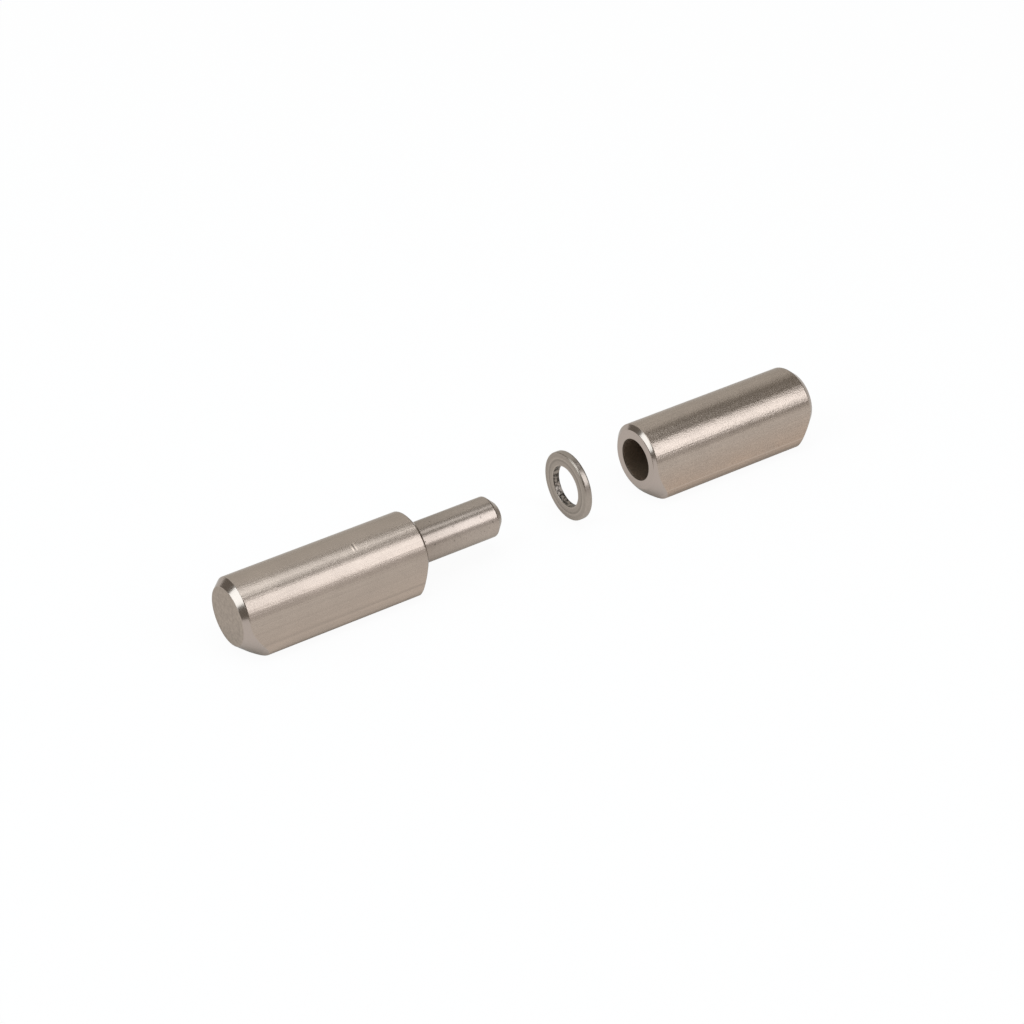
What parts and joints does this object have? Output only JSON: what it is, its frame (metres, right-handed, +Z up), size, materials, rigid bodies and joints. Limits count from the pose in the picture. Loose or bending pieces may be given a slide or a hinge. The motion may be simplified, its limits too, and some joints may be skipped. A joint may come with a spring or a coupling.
{
  "type": "weld-on hinge",
  "caption": "Lift-off weld-on hinge of drop-shaped stainless bar: a barrel with a round pin, a spacer ring and a barrel with a blind bore, drawn apart along the pin.",
  "frame": {"origin": "bottom centre of the box round the drawn-apart hinge, on the ground", "axes": "+X along the pin's axis from the lower barrel to the upper barrel, +Z up, noses of the drops on the ground towards -Y"},
  "size_m": [0.1282, 0.0146, 0.0137],
  "materials": {
    "drawn_stainless": "satin drawn bar with fine lengthwise lines",
    "ground_stainless": "smooth ground round bar",
    "turned_stainless": "turned, with faint concentric lines"
  },
  "bodies": {
    "lower_half": {"lower_barrel": "drawn_stainless"},
    "pin": {"hinge_pin": "ground_stainless"},
    "ring": {"spacer_ring": "turned_stainless"},
    "upper_half": {"upper_barrel": "drawn_stainless"}
  },
  "joints": [
    {"name": "swing", "type": "hinge", "parent": "lower_half", "child": "pin", "pos_m": [-0.02555, 0.00024, 0.00685], "axis": [1, 0, 0], "continuous": true},
    {"name": "ring_slide", "type": "slide", "parent": "pin", "child": "ring", "axis": [1, 0, 0], "range_m": [-0.03445, 0]},
    {"name": "lift_off", "type": "slide", "parent": "ring", "child": "upper_half", "axis": [1, 0, 0], "range_m": [-0.01485, 0]}
  ]
}
